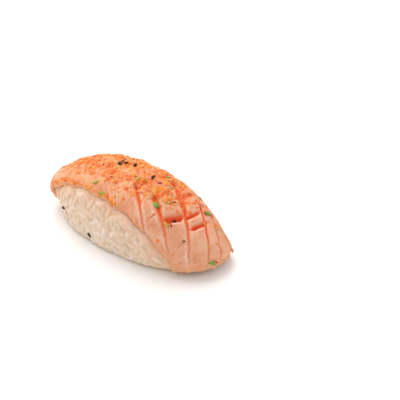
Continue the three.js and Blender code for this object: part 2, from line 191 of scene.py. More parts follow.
def smoothstep(x, low, high):
    t = np.clip((x - low) / (high - low), 0, 1)
    return t * t * (3 - 2 * t)


def arc_starts():
    """Where each arc of the middle line starts: distance, x, z and heading, and its curve."""
    distance, (x, z, heading) = 0, SPINE_START
    rows = []
    for length, turn in SPINE_ARCS:
        curve = -math.radians(turn) / length
        rows.append((distance, x, z, heading, curve))
        turned = heading + curve * length
        x += (math.sin(turned) - math.sin(heading)) / curve
        z -= (math.cos(turned) - math.cos(heading)) / curve
        distance, heading = distance + length, turned
    return np.array(rows)


ARCS = arc_starts()


def spine_at(s):
    """The middle line's x, z and heading at distances along it."""
    at, x, z, heading, curve = ARCS[np.clip(np.searchsorted(ARCS[:, 0], s, "right") - 1, 0, None)].T
    turned = heading + curve * (s - at)
    forward = (np.sin(turned) - np.sin(heading)) / curve
    return x + forward, z - (np.cos(turned) - np.cos(heading)) / curve, turned


def drape(s, c, n):
    """Points in space, in millimetres, of places along, across and above the slice."""
    x, z, heading = spine_at(s)
    radius = along(SLICE_BEND, s / SLICE_LENGTH)
    angle = c / radius
    up = (radius + n) * np.cos(angle) - radius
    y = along(SIDE_SHIFT, s / SLICE_LENGTH) + (radius + n) * np.sin(angle)
    return np.stack([x - np.sin(heading) * up, y, z + np.cos(heading) * up], axis=-1)


def reach_at(s, c):
    """How far the slice reaches from its middle line, on the side that c lies on."""
    t = s / SLICE_LENGTH
    wave = EDGE_WAVE * np.sin(s / EDGE_PITCH * 2 * np.pi)
    return np.where(c < 0, along(NEAR_REACH, t), along(FAR_REACH, t)) + wave


def corner_cut(corners, w):
    return np.where(w < 0, corners[0], corners[1]) * w * w


def front_end(w):
    return SLICE_LENGTH - corner_cut(FRONT_CORNERS, w)


def thickness(s, w):
    """The uncut slice's thickness. w is -1 on the near edge and 1 on the far edge."""
    across = np.maximum(0, 1 - np.abs(w) ** RIM_SHARPNESS)
    back = smoothstep(s, -TAPER_LEAD, BACK_TAPER)
    front = smoothstep(front_end(w) - s, -TAPER_LEAD, FRONT_TAPER)
    return RIM_THICK + (SLICE_THICK - RIM_THICK) * across * back * front


middle_line = drape(np.linspace(0, SLICE_LENGTH, 50), np.zeros(50), np.zeros(50))
print("slice", SLICE_LENGTH, "mm along its curve, crest", round(middle_line[:, 2].max(), 1), "mm up")

# %% [markdown]
# ## The knife cuts
#
# The cook draws the knife slanting over the slice, and then crosswise over the shoulder. As
# the slice bends over the rice, each cut opens, most where the bend is sharpest. The flesh
# beside a cut sinks towards it, so that each strip is a flat cushion, and the seared skin
# stands up as a thin pale lip. A cut is therefore a line on the flat slice with an opening,
# a depth, a lean that says to which side its deepest place lies, and a share of lip on both
# sides. One function works out how far each point of the surface sinks, how much of a cut
# it is and how much of a lip. The colours later read the same values.

# %% Knife cuts
# start and end are (along, across), gape is the opening at both, lean is from -1 to 1, and
# back and front are the lips on the side of the tip and of the front end
Cut = namedtuple("Cut", "start end gape depth lean back front")
CUTS = [
    Cut((11, 4), (23, -8), (0.8, 0.5), 0.3, 0.0, 0.2, 0.1),
    Cut((29, -1.2), (37, -12.4), (3.6, 0.6), 0.7, 0.0, 0.2, 0.2),
    Cut((42, -5.6), (54, -15.4), (0.6, 0.6), 0.3, 0.4, 0.0, 0.9),
    Cut((59.2, -0.6), (58.4, -7.2), (1.1, 2.0), 1.0, 0.1, 0.6, 0.6),
    Cut((56.4, -4.6), (73.6, -16.2), (2.2, 0.6), 1.1, 0.1, 0.6, 0.8),
    Cut((64.5, -4.6), (87, -14.4), (3.3, 0.4), 1.2, 0.25, 0.9, 0.3),
    Cut((63, 6.4), (95, -11.4), (4.0, 0.4), 1.5, 0.2, 1.0, 0.3),
    Cut((76, 6.6), (98, -6.2), (1.9, 0.6), 1.1, 0.2, 0.5, 0.2),
    Cut((81, 7.5), (98, -0.7), (0.9, 0.7), 0.9, 0.2, 0.4, 0.2),
    Cut((86.5, 8), (98.4, 5.2), (0.9, 0.8), 0.8, 0.2, 0.3, 0.2),
    Cut((70.6, -12), (71, -7.6), (0.6, 1.0), 0.7, -0.3, 0.4, 0.2),
    Cut((74.0, -8.3), (77.3, -1.8), (4.3, 5.0), 1.9, -0.8, 1.0, 0.0),
    Cut((78.4, -3.1), (78.9, 4.4), (2.8, 1.8), 1.3, -0.3, 0.6, 0.2),
    Cut((82.6, -4.0), (83.3, 4.2), (2.8, 1.8), 1.3, -0.4, 0.9, 0.2),
    Cut((86.1, -11.2), (84.7, -6.6), (0.6, 0.5), 0.4, 0.0, 0.2, 0.0),
    Cut((71, 1.2), (71.3, 8.5), (5.4, 3.6), 0.9, -0.2, 0.3, 0.2),
    Cut((67.5, -1.5), (66.3, 5.5), (1.6, 0.9), 0.7, -0.3, 0.4, 0.2),
]
FAR_CUTS = [Cut((14 + 12.5 * k, 17), (31 + 12.5 * k, 6.5), (0.8, 1.6), 1.1, 0.2, 0.6, 0.3) for k in range(4)]
ALL_CUTS = CUTS + FAR_CUTS
CUT_FLOOR = 0.8
END_TAPER = 2.2  # mm over which a cut closes at its ends
FULL_DEPTH = 1.2  # mm; a cut at least as deep shows the raw colour in full
CUSHION, CUSHION_WIDTH = 0.5, 1.5  # mm that the flesh sinks beside a cut, and over what width
LIP_HEIGHT, LIP_WIDTH = 0.16, 0.35
WAVER, WAVER_SIZE = 0.35, 4.0  # mm by which the hand that cut wavered, and over what length


def soft_noise(s, c, size, seed):
    """One value from about -1 to 1 for each flat place; neighbours within size are alike."""
    return np.array([noise.noise(Vector((a / size, b / size, seed))) for a, b in zip(s, c)])


def beside_cut(cut, s, c):
    """How far points lie beside a cut's line, signed, and along it from 0 to 1."""
    run_s, run_c = cut.end[0] - cut.start[0], cut.end[1] - cut.start[1]
    length = math.hypot(run_s, run_c)
    way_s, way_c = run_s / length, run_c / length
    run = (s - cut.start[0]) * way_s + (c - cut.start[1]) * way_c
    aside = (c - cut.start[1]) * way_s - (s - cut.start[0]) * way_c
    past = np.maximum(0, np.maximum(-run, run - length))
    to_end = np.clip(np.minimum(run, length - run), 0, None)
    return np.where(aside < 0, -1, 1) * np.hypot(aside, past), np.clip(run / length, 0, 1), to_end


def cut_relief(s, c):
    """At points of the surface: how far it sinks, its share of cut, and its share of lip."""
    waver = soft_noise(s, c, WAVER_SIZE, 31.0)
    s, c = s + WAVER * waver, c + WAVER * soft_noise(s, c, WAVER_SIZE, 37.0)
    sink, cushion, inside, lip = (np.zeros_like(s) for _ in range(4))
    for cut in ALL_CUTS:
        aside, run, to_end = beside_cut(cut, s, c)
        share = np.minimum(1, 0.25 + to_end / END_TAPER)
        gape = cut.gape[0] + (cut.gape[1] - cut.gape[0]) * run
        depth = cut.depth * gape / max(cut.gape) * share
        half = gape / 2 * share
        off = aside / half - cut.lean
        opened = 1 - smoothstep(np.where(off < 0, -off / (1 + cut.lean), off / (1 - cut.lean)), 0, 1)
        raw = np.minimum(1, depth / FULL_DEPTH)
        outside = np.maximum(0, np.abs(aside) - half)
        sink = np.maximum(sink, depth * opened)
        cushion = np.maximum(cushion, raw * np.exp(-outside / CUSHION_WIDTH))
        inside = np.maximum(inside, opened * raw)
        ridge = np.exp(-((outside - LIP_WIDTH) / LIP_WIDTH) ** 2) * share
        lip = np.maximum(lip, ridge * np.where(aside < 0, cut.back, cut.front))
    return sink + CUSHION * cushion, inside, lip * (inside <= 0.02) * np.clip(0.6 + waver, 0, 1)


print(len(ALL_CUTS), "knife cuts")

# %% [markdown]
# ## Where the spice lies
#
# The spice was strewn from above along the crest: thick there, thinner towards both sides
# and the front, and patchy all over. One function gives its share at a flat place. The
# surface is bumpy by it, the flesh reads it as a stain, and the crumbs are later strewn by
# it, so that all three agree.

# %% Spice share
# along the slice: the spice's edge on the near side, and on the far side
BAND = np.array([
    (4, 0, 9), (14, -3, 10), (28, -6, 11), (42, -7.5, 11),
    (60, -7.5, 10), (70, -6, 10), (78, -1, 10), (88, 3, 9),
])
BAND_SOFTNESS = 3.5  # mm over which the spice thins out at the band's edges
BAND_ENDS = (3, 16, 52, 93)  # mm along the slice where it starts, is thick, thins and ends
PATCH_SIZE = 4.0  # mm


def spice_share(s, c):
    """How thick the spice lies, from 0 to 1."""
    near = np.interp(s, BAND[:, 0], BAND[:, 1])
    far = np.interp(s, BAND[:, 0], BAND[:, 2])
    start, thick, thins, end = BAND_ENDS
    across = smoothstep(np.minimum(c - near, far - c), -BAND_SOFTNESS, BAND_SOFTNESS)
    lengthwise = smoothstep(s, start, thick) * smoothstep(-s, -end, -thins)
    patches = 0.75 + 0.9 * soft_noise(s, c, PATCH_SIZE, 21.0)
    return np.clip(across * lengthwise * patches, 0, 1)


# %% [markdown]
# The upper side is then the whole slice's thickness, less what the cuts take, with the
# bumps that the heat and the spice gave it. The flesh also swells and sinks by a few tenths
# of a millimetre over a finger's width.

# %% Upper side
SWELLING, SWELLING_SIZE = 0.25, 7.0  # mm
CRUST, CRUST_SIZE = 1.0, 2.4  # mm that heaps of spice stand up, and their width


def top_of_slice(s, c, w):
    """Heights of the cut slice's upper side, with its shares of cut and of lip."""
    sink, inside, lip = cut_relief(s, c)
    whole = thickness(s, w)
    inner = 1 - smoothstep(np.maximum(np.abs(2 * s / SLICE_LENGTH - 1), np.abs(w)), 0.8, 1)
    swell = SWELLING * (soft_noise(s, c, SWELLING_SIZE, 8.0) - 0.6)
    crust = CRUST * spice_share(s, c) * soft_noise(s, c, CRUST_SIZE, 51.0)
    height = whole - sink + LIP_HEIGHT * lip + (swell + crust) * inner
    return np.maximum(height, np.minimum(CUT_FLOOR, whole)), inside, lip


# %% [markdown]
# ## Modelling the slice
#
# A slab of fish starts as a grid, as flat as on the board. Two extrusions downwards give it
# an edge with a ring in the middle, which can be rounded. The upper side is then subdivided
# once all over, and once more where the knife went, because only the cuts need such small
# faces. Last, every vertex is sent through the drape. Sculpting the draped form by hand
# would look alike, but this keeps the slice true to its sizes.

# %% Selection helpers
def deselect_all():
    if bpy.context.mode != "OBJECT":
        bpy.ops.object.mode_set(mode="OBJECT")
    bpy.ops.object.select_all(action="DESELECT")


def coordinates(piece):
    """All vertex places of a piece, as an array."""
    flat = np.empty(len(piece.data.vertices) * 3)
    piece.data.vertices.foreach_get("co", flat)
    return flat.reshape(-1, 3)


def set_coordinates(piece, places):
    piece.data.vertices.foreach_set("co", np.asarray(places, float).ravel())
    piece.data.update()


def face_middles(piece):
    flat = np.empty(len(piece.data.polygons) * 3)
    piece.data.polygons.foreach_get("center", flat)
    return flat.reshape(-1, 3)


def select_faces(piece, chosen):
    """Selects these faces alone, and goes into edit mode."""
    bpy.ops.object.mode_set(mode="EDIT")
    bpy.ops.mesh.select_mode(type="FACE")
    bpy.ops.mesh.select_all(action="DESELECT")
    bpy.ops.object.mode_set(mode="OBJECT")
    piece.data.polygons.foreach_set("select", chosen)
    bpy.ops.object.mode_set(mode="EDIT")


def store(piece, name, values):
    """Keeps one number for each vertex under a name that a material can read."""
    piece.data.attributes.new(name, "FLOAT", "POINT")
    piece.data.attributes[name].data.foreach_set("value", np.asarray(values, np.float32))


# %% Flat slab
FLAT_STEP = 0.8  # mm, the size of the slab's first faces
FINE_ZONE = 1.2  # mm beside a cut's lips that gets the smallest faces


def flat_slab():
    deselect_all()
    rows = round(SLICE_LENGTH / FLAT_STEP)
    columns = round((NEAR_REACH[1] + FAR_REACH[1]) / FLAT_STEP)
    bpy.ops.mesh.primitive_grid_add(x_subdivisions=rows, y_subdivisions=columns, size=2)
    slab = bpy.context.object
    slab.name = "salmon_slice"
    bpy.ops.object.mode_set(mode="EDIT")
    bpy.ops.mesh.select_all(action="SELECT")
    for _ in range(2):
        bpy.ops.mesh.extrude_region_move(TRANSFORM_OT_translate={"value": (0, 0, -1)})
    bpy.ops.mesh.select_all(action="SELECT")
    bpy.ops.mesh.normals_make_consistent(inside=False)
    bpy.ops.object.mode_set(mode="OBJECT")
    return slab


def flat_place(x, y):
    """Along, across and edge share of places on the slab, which runs from -1 to 1 both ways."""
    start = corner_cut(BACK_CORNERS, y)
    s = start + (front_end(y) - start) * (x + 1) / 2
    return s, reach_at(s, y) * y, y


def refine_top(slab):
    """Subdivides the upper side once, and once more beside the cuts."""
    select_faces(slab, face_middles(slab)[:, 2] > -0.1)
    bpy.ops.mesh.subdivide(number_cuts=1)
    bpy.ops.object.mode_set(mode="OBJECT")
    x, y, z = face_middles(slab).T
    s, c, _ = flat_place(x, y)
    near_cut = np.zeros(len(s), bool)
    for cut in ALL_CUTS:
        near_cut |= np.abs(beside_cut(cut, s, c)[0]) < max(cut.gape) / 2 + FINE_ZONE
    select_faces(slab, near_cut & (z > -0.1))
    bpy.ops.mesh.subdivide(number_cuts=1)
    bpy.ops.object.mode_set(mode="OBJECT")


slab = flat_slab()
refine_top(slab)
print("flat slab", len(slab.data.polygons), "faces")

# %% [markdown]
# The slab is now sent through the drape. Its seared skin is crinkled, and its edge is ragged
# where the thin flesh frays. Soft noises give that. The edge itself is a thin wedge, because
# the underside ends a little before the upper side does.

# %% Drape the slab
CRINKLE, CRINKLE_SIZE = 0.12, 1.5  # mm
FRAYING, FRAYING_SIZE = 0.7, 1.8  # mm
EDGE_ROUNDING = 0.6  # share of the edge's height that is rounded off on top
EDGE_MIDDLE = 0.35  # mm, the height of the edge's middle ring
UNDERSIDE_INSET = 1.1  # mm by which the underside ends before the edge


def drape_slab(slab):
    """Drapes the slab, keeps what its material needs, and gives its flat places."""
    x, y, z = coordinates(slab).T
    flat_s, flat_c, w = flat_place(x, y)
    middle = (z < -0.5) & (z > -1.5)
    under = z < -1.5
    outermost = np.maximum(np.abs(x), np.abs(y))
    edge = smoothstep(outermost, 0.8, 1)
    out = FRAYING * edge * (soft_noise(flat_s, flat_c, FRAYING_SIZE, 3.0) - 0.5) - UNDERSIDE_INSET * under
    s = flat_s + out * x * (np.abs(x) > 0.9)
    c = flat_c + out * y
    height, inside, lip = top_of_slice(s, c, w)
    crinkle = CRINKLE * (1 - inside) * soft_noise(s, c, CRINKLE_SIZE, 15.0)
    top = (height + crinkle) * (1 - EDGE_ROUNDING * smoothstep(outermost, 0.93, 1))
    set_coordinates(slab, drape(s, c, np.where(under, 0.02, np.where(middle, EDGE_MIDDLE, top))) * MM)
    on_top = ~under & ~middle
    store(slab, "cut", inside * on_top)
    store(slab, "lip", lip * on_top)
    store(slab, "rim", smoothstep(outermost, 0.92, 1))
    store(slab, "under", under)
    store(slab, "spice", spice_share(flat_s, flat_c) * on_top)
    return flat_s, flat_c


def keep_flat_map(slab, s, c):
    """The piece's UV map: its flat places in millimetres."""
    corners = np.empty(len(slab.data.loops), np.int32)
    slab.data.loops.foreach_get("vertex_index", corners)
    flat = slab.data.uv_layers[0]
    flat.name = "flat"
    flat.data.foreach_set("uv", np.stack([s[corners], c[corners]], 1).ravel())


s_flat, c_flat = drape_slab(slab)
keep_flat_map(slab, s_flat, c_flat)
deselect_all()
slab.select_set(True)
bpy.context.view_layer.objects.active = slab
bpy.ops.object.shade_smooth()
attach(slab, "root")
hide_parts("salmon")
print("slice", [round(v * 1000, 1) for v in slab.dimensions], "mm,", len(slab.data.polygons), "faces")

# %% [markdown]
# ## Salmon flesh
#
# Raw salmon is orange-red, moist and translucent: light goes in, spreads by a few
# millimetres and comes out redder, which is what *subsurface* scattering does. The flame
# turns the surface pale and satin, while the walls of the cuts stay raw and deep. Darker
# fibres run across the slice, about a millimetre apart, with finer ones between them. They
# show in patches, least at the front. The lips of the cuts are nearly white, where the fat
# was seared.

# %% Salmon material
FIBRE_SPACING, FINE_SPACING = 0.85, 0.4  # mm
FIBRE_LENGTH = 6.0  # mm over which one fibre can be followed
FIBRE_TURN = math.radians(6)  # from straight across the slice
TIP_END, FRONT_START = 35, 70  # mm along; the flesh turns from orange to pink between them
FLANK_ALONG, FLANK_ACROSS = (80, 92), (2, 8)  # mm; where the front's far side is painted darker, as painted shade
FLESH_DEPTH = 1.6 * MM  # how far light spreads in the flesh
CLOUDS, BLOTS, MOTTLES = 0.16, 0.6, 1.5  # noises: how many of their bumps go into a millimetre


def salmon_flesh():
    material, tree, shader = new_material("seared_salmon_flesh")
    flat = add(tree, "UVMap", {"uv_map": "flat"}, {})
    cut, lip, rim, under, spice = (
        add(tree, "Attribute", {"attribute_name": name}, {}, give="Fac")
        for name in ("cut", "lip", "rim", "under", "spice")
    )
    # fibres are noises that are narrow across them and long along them
    fibres, fine_fibres = (
        add(tree, "TexNoise", {"noise_dimensions": "2D"}, {
            "Vector": add(tree, "Mapping", {"vector_type": "TEXTURE"}, {
                "Vector": flat, "Rotation": (0, 0, FIBRE_TURN), "Scale": (spacing, FIBRE_LENGTH, 1)}),
            "Scale": 1.0, "Detail": 1.0, "Distortion": 0.3})
        for spacing in (FIBRE_SPACING, FINE_SPACING)
    )
    clouds, blots, mottles = (
        add(tree, "TexNoise", {"noise_dimensions": "2D"}, {"Vector": flat, "Scale": scale, "Detail": 3.0})
        for scale in (CLOUDS, BLOTS, MOTTLES)
    )

    # the seared surface, mottled, with its fibres in patches
    lengthwise, crosswise = (add(tree, "SeparateXYZ", {}, {"Vector": flat}, give=axis) for axis in (0, 1))
    forward, far_front, far_side = (
        add(tree, "MapRange", {}, {"Value": way, "From Min": low, "From Max": high})
        for way, (low, high) in (
            (lengthwise, (TIP_END, FRONT_START)), (lengthwise, FLANK_ALONG), (crosswise, FLANK_ACROSS),
        )
    )
    tip_tone, front_tone = (
        add(tree, "ValToRGB", {}, {"Fac": clouds}, [(0.32, dark), (0.5, middle), (0.68, pale)])
        for dark, middle, pale in (("#f09e6e", "#f4aa7a", "#f8b88a"), ("#e8a480", "#ecae8a", "#f0ba98"))
    )
    colour = add(tree, "Mix", COLOURS, {SHARE: forward, FIRST: tip_tone, SECOND: front_tone}, give=MIXED)
    share = add(tree, "ValToRGB", {}, {"Fac": mottles}, [(0.35, "#707070"), (0.5, "#000000")])
    colour = add(tree, "Mix", COLOURS, {SHARE: share, FIRST: colour, SECOND: "#e88e64"}, give=MIXED)
    patches = add(tree, "MapRange", {}, {"Value": clouds, "From Min": 0.6, "From Max": 0.4, "To Min": 0.2})
    fading = add(tree, "MapRange", {}, {"Value": forward, "To Min": 1.0, "To Max": 0.5})
    shown = add(tree, "Math", {"operation": "MULTIPLY"}, {0: patches, 1: fading})
    for pattern, depth, dark in ((fibres, "#d2d2d2", "#e27a46"), (fine_fibres, "#9c9c9c", "#e48a5c")):
        share = add(tree, "ValToRGB", {}, {"Fac": pattern}, [(0.36, depth), (0.48, "#000000")])
        share = add(tree, "Math", {"operation": "MULTIPLY"}, {0: share, 1: shown})
        colour = add(tree, "Mix", COLOURS, {SHARE: share, FIRST: colour, SECOND: dark}, give=MIXED)

    # spice stains it in blots and thin edges are golden in places; the far front flank is painted darker, as
    # painted shade
    stains = add(tree, "ValToRGB", {}, {"Fac": blots}, [(0.4, "#000000"), (0.52, "#ffffff")])
    golden = add(tree, "ValToRGB", {}, {"Fac": blots}, [(0.42, "#303030"), (0.56, "#ffffff")])
    stained, gilded, flank_painted_shade = (
        add(tree, "Math", {"operation": "MULTIPLY"}, {0: one, 1: other})
        for one, other in ((spice, stains), (rim, golden), (far_front, far_side))
    )
    for part, most, shown in (
        # the spice's share also paints the crest paler: partly seared flesh, partly a painted highlight on
        # the slice's top
        (spice, 0.4, "#f8b488"), (stained, 1.0, "#f87414"), (flank_painted_shade, 0.7, "#d88c50"),
        # the underside is painted pale, as painted light that comes through the thin flesh
        (gilded, 0.6, "#f8ae60"), (lip, 0.8, "#f8d2c4"), (under, 0.9, "#ffc8a4"),
    ):
        share = add(tree, "Math", {"operation": "MULTIPLY"}, {0: part, 1: most})
        colour = add(tree, "Mix", COLOURS, {SHARE: share, FIRST: colour, SECOND: shown}, give=MIXED)

    # the raw walls of the cuts
    raw = add(tree, "ValToRGB", {}, {"Fac": cut}, [
        (0.0, "#ee9a6c"), (0.35, "#f07c4a"), (0.75, "#f25a1c"), (1.0, "#ec420c")])
    share = add(tree, "ValToRGB", {}, {"Fac": cut}, [(0.05, "#000000"), (0.55, "#ffffff")])
    colour = add(tree, "Mix", COLOURS, {SHARE: share, FIRST: colour, SECOND: raw}, give=MIXED)
    tree.links.new(colour, shader.inputs["Base Color"])

    shader.inputs["Roughness"].default_value = 0.42
    shader.inputs["IOR"].default_value = 1.38
    shader.inputs["Subsurface Weight"].default_value = 0.5
    shader.inputs["Subsurface Radius"].default_value = (1.0, 0.5, 0.3)
    shader.inputs["Subsurface Scale"].default_value = FLESH_DEPTH
    ridges = add(tree, "Math", {"operation": "ADD"}, {0: fibres, 1: fine_fibres})
    bump = add(tree, "Bump", {}, {"Height": ridges, "Strength": 0.4, "Distance": 0.15 * MM})
    tree.links.new(bump, shader.inputs["Normal"])
    return material


slab.data.materials.append(salmon_flesh())

# %% [markdown]
# ## The rice pad
#
# Sushi rice is pressed into a small loaf with a flat foot. Under the slice it takes the
# slice's form, and past the slice's edges it swells out again. That shape has no simple
# name, so it is found by asking: how far from the loaf's middle does the rice still reach
# in this direction? A sphere gives the directions, and a search the distance. The rings of
# the sphere are first spread over the loaf's side and top, so that the foot stays crisp.

# %% Driving sizes of the pad
PAD_MIDDLE = (-0.6, -1.4)
PAD_HALF_LENGTH, PAD_HALF_WIDTH, PAD_HEIGHT = 34.5, 15, 25.5
FOOT_LENGTH, FOOT_WIDTH = 0.82, 0.95
PAD_BELLY, PAD_SHOULDER, PAD_SQUARE = 0.22, 3, 2.4
PAD_SWELL, PAD_HEART = 1.4, 9.5
CLOSE = 0.05  # mm that the rice stays under the slice
RIM_FILL = (-1.8, -0.6)  # mm from the slice's edge between which the rice rises to its rim
TIP_FILL, TIP_FILL_ENDS, TIP_FILL_HEIGHT = 0.6, (6, 16), (1.5, 6)  # where rice fills up the slice's tip

STATION_S = np.arange(-6, SLICE_LENGTH + 6.01, 0.5)
STATIONS = np.stack(spine_at(STATION_S), 1)


def undrape(points):
    """The other way round: along, across and above the slice, of points in millimetres."""
    away = (points[:, None, 0] - STATIONS[:, 0]) ** 2 + (points[:, None, 2] - STATIONS[:, 1]) ** 2
    nearest = away.argmin(1)
    s, (x, z, heading) = STATION_S[nearest], STATIONS[nearest].T
    radius = along(SLICE_BEND, s / SLICE_LENGTH)
    up = radius - (points[:, 0] - x) * np.sin(heading) + (points[:, 2] - z) * np.cos(heading)
    side = points[:, 1] - along(SIDE_SHIFT, s / SLICE_LENGTH)
    return s, np.arctan2(side, up) * radius, np.hypot(side, up) - radius


def past_edge(s, c):
    """How far a place lies past the slice's nearest edge, or below 0 inside it."""
    return np.maximum(np.abs(c) - reach_at(s, c), np.maximum(-s, s - SLICE_LENGTH))


def pad_share(height, foot):
    """The pad's share of its full length or width at a height, from its foot's share."""
    belly = PAD_HEIGHT * PAD_BELLY
    low = foot + (1 - foot) * np.sqrt(np.maximum(0, 1 - (1 - np.minimum(height, belly) / belly) ** 2))
    rise = np.clip((height - belly) / (PAD_HEIGHT - belly), 0, 1)
    return np.where(height < belly, low, np.sqrt(1 - rise ** PAD_SHOULDER))


def inside_pad(points):
    length = np.maximum(1e-6, PAD_HALF_LENGTH * pad_share(points[:, 2], FOOT_LENGTH))
    width = np.maximum(1e-6, PAD_HALF_WIDTH * pad_share(points[:, 2], FOOT_WIDTH))
    x = np.abs(points[:, 0] - PAD_MIDDLE[0]) / length
    y = np.abs(points[:, 1] - PAD_MIDDLE[1]) / width
    s, c, n = undrape(points)
    past = past_edge(s, c)
    fill = TIP_FILL * smoothstep(-past, 0.3, 1.5) * (1 - smoothstep(s, *TIP_FILL_ENDS))
    fill *= smoothstep(points[:, 2], *TIP_FILL_HEIGHT)
    swell = PAD_SWELL * np.maximum(0, past) + EDGE_MIDDLE * smoothstep(past, *RIM_FILL)
    return (points[:, 2] >= 0) & (x ** PAD_SQUARE + y ** PAD_SQUARE <= 1 + fill) & (n < swell - CLOSE)


def pad_edge(start, way):
    """How far the pad reaches from points inside it, found by halving the doubt 16 times."""
    inner, outer = np.zeros(len(start)), np.full(len(start), 2.0)
    for _ in range(16):
        middle = (inner + outer) / 2
        kept = inside_pad(start + way * middle[:, None])
        inner, outer = np.where(kept, middle, inner), np.where(kept, outer, middle)
    return start + way * inner[:, None]


# %% Rice core
CORE_SEGMENTS, CORE_RINGS = 112, 56
CORE_LEVELS = 18  # how many of the rings lie on the side, below the heart's height


def rice_core():
    deselect_all()
    bpy.ops.mesh.primitive_uv_sphere_add(segments=CORE_SEGMENTS, ring_count=CORE_RINGS, radius=1)
    core = bpy.context.object
    core.name = "rice_core"
    x, y, z = coordinates(core).T
    bearing = np.arctan2(y, x)
    ring = np.rint((np.arcsin(np.clip(z, -1, 1)) / np.pi + 0.5) * CORE_RINGS)
    height = np.clip((ring - 1) / CORE_LEVELS, 0, 1) * PAD_HEART
    tilt = np.maximum(0, ring - 1 - CORE_LEVELS) / (CORE_RINGS - 1 - CORE_LEVELS) * np.pi / 2
    start = np.stack([np.full(len(x), PAD_MIDDLE[0]), np.full(len(x), PAD_MIDDLE[1]), height], 1)
    way = np.stack([
        PAD_HALF_LENGTH * np.cos(tilt) * np.cos(bearing),
        PAD_HALF_WIDTH * np.cos(tilt) * np.sin(bearing),
        (PAD_HEIGHT - PAD_HEART) * np.sin(tilt),
    ], 1)
    places = pad_edge(start, way)
    places[ring == 0] = start[ring == 0]
    set_coordinates(core, places * MM)
    bpy.ops.object.shade_smooth()
    return core


core = rice_core()
print("rice core", [round(v * 1000, 1) for v in core.dimensions], "mm")

# %% [markdown]
# ## Strewing small things
#
# Grains, crumbs, seeds and flakes are all made in the same way: one of them is modelled, and
# many turned copies of it are joined into one piece. Building the joined mesh from arrays is
# far quicker than copying objects, and each copy keeps a number of its own, from 0 to 1,
# which its material turns into a shade.

# %% Strewing
def model_arrays(model):
    """A modelled piece's vertices and faces; the piece itself is then removed."""
    points = coordinates(model)
    faces = [list(face.vertices) for face in model.data.polygons]
    bpy.data.objects.remove(model)
    return points, faces


def unit(ways):
    return ways / np.linalg.norm(ways, axis=-1, keepdims=True)


def turning(length, top):
    """Turning matrices that lay X along one direction and Z along another."""
    side = unit(np.cross(top, length))
    return np.stack([unit(np.cross(side, top)), side, unit(top)], axis=2)


def turn_about(way, axis, angle):
    """Directions turned about axes at right angles to them, in radians."""
    return way * np.cos(angle)[:, None] + np.cross(axis, way) * np.sin(angle)[:, None]


def strewn(name, model, places, turned, sizes, shades, smooth=True):
    """One mesh of many copies, each turned, sized along its own axes and put in place."""
    points, faces = model
    copies = np.einsum("kij,kvj->kvi", turned, points[None] * sizes[:, None, :]) + places[:, None, :]
    joined = []
    for k in range(len(places)):
        joined += [[k * len(points) + v for v in face] for face in faces]
    mesh = bpy.data.meshes.new(name)
    mesh.from_pydata((copies.reshape(-1, 3) * MM).tolist(), [], joined)
    mesh.polygons.foreach_set("use_smooth", np.full(len(joined), smooth))
    piece = bpy.data.objects.new(name, mesh)
    bpy.context.collection.objects.link(piece)
    store(piece, "shade", np.repeat(shades, len(points)))
    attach(piece, "root")
    print(name, len(places), "copies,", len(joined), "faces")
    return piece


# %% [markdown]
# ## Cooked grains
#
# A cooked short grain is a fat spindle, 5 to 6 mm long, a little bent and blunter at one
# end. Hundreds of them cover the pad, so one has only a few dozen faces. They lie flat on
# the core in every direction, deep in it as the hand pressed them. Where one would push
# into the slice, it is pressed deeper instead, and one that would reach below the table is
# lifted.

# %% One grain
GRAIN_LENGTH, GRAIN_WIDTH = 5.8, 2.75


def one_grain():
    deselect_all()
    bpy.ops.mesh.primitive_uv_sphere_add(segments=8, ring_count=6, radius=0.5)
    grain = bpy.context.object
    bpy.ops.object.mode_set(mode="EDIT")
    bpy.ops.mesh.select_all(action="SELECT")
    bpy.ops.transform.rotate(value=math.pi / 2, orient_axis="Y", center_override=(0, 0, 0))
    bpy.ops.object.mode_set(mode="OBJECT")
    x, y, z = coordinates(grain).T
    blunt = 1 + 0.18 * x
    set_coordinates(grain, np.stack([x, y * blunt + 0.25 * x * x, z * blunt], 1))
    return model_arrays(grain)


grain = one_grain()

# %% Places for grains
GRAIN_TRIES = 16000
GRAIN_VARY = 0.2
PRESSES = 1 + 0.35 * np.arange(6)  # how much deeper a grain may be pressed
GRAIN_LIFT = 1.2  # mm that a grain may be lifted off the table
GRAIN_BALLS = np.array([-0.36, 0, 0.36])  # where along a grain its ends and middle are tested


def surface_points(piece, count, random):
    """Random places on a piece in millimetres, with the directions in which it faces."""
    piece.data.calc_loop_triangles()
    corners = np.empty(len(piece.data.loop_triangles) * 3, np.int32)
    piece.data.loop_triangles.foreach_get("vertices", corners)
    a, b, c = coordinates(piece)[corners.reshape(-1, 3)].transpose(1, 0, 2) / MM
    facing = np.cross(b - a, c - a)
    area = np.linalg.norm(facing, axis=1)
    chosen = random.choice(len(area), count, p=area / area.sum())
    u, v = np.sqrt(random.random(count)), random.random(count)
    share_a, share_b, share_c = (1 - u)[:, None], (u * (1 - v))[:, None], (u * v)[:, None]
    places = a[chosen] * share_a + b[chosen] * share_b + c[chosen] * share_c
    return places, facing[chosen] / area[chosen][:, None]


def meets_slice(points, radius):
    """Whether balls at these points would reach into the slice."""
    s, c, n = undrape(points)
    return (past_edge(s, c) < radius) & (n > -radius)


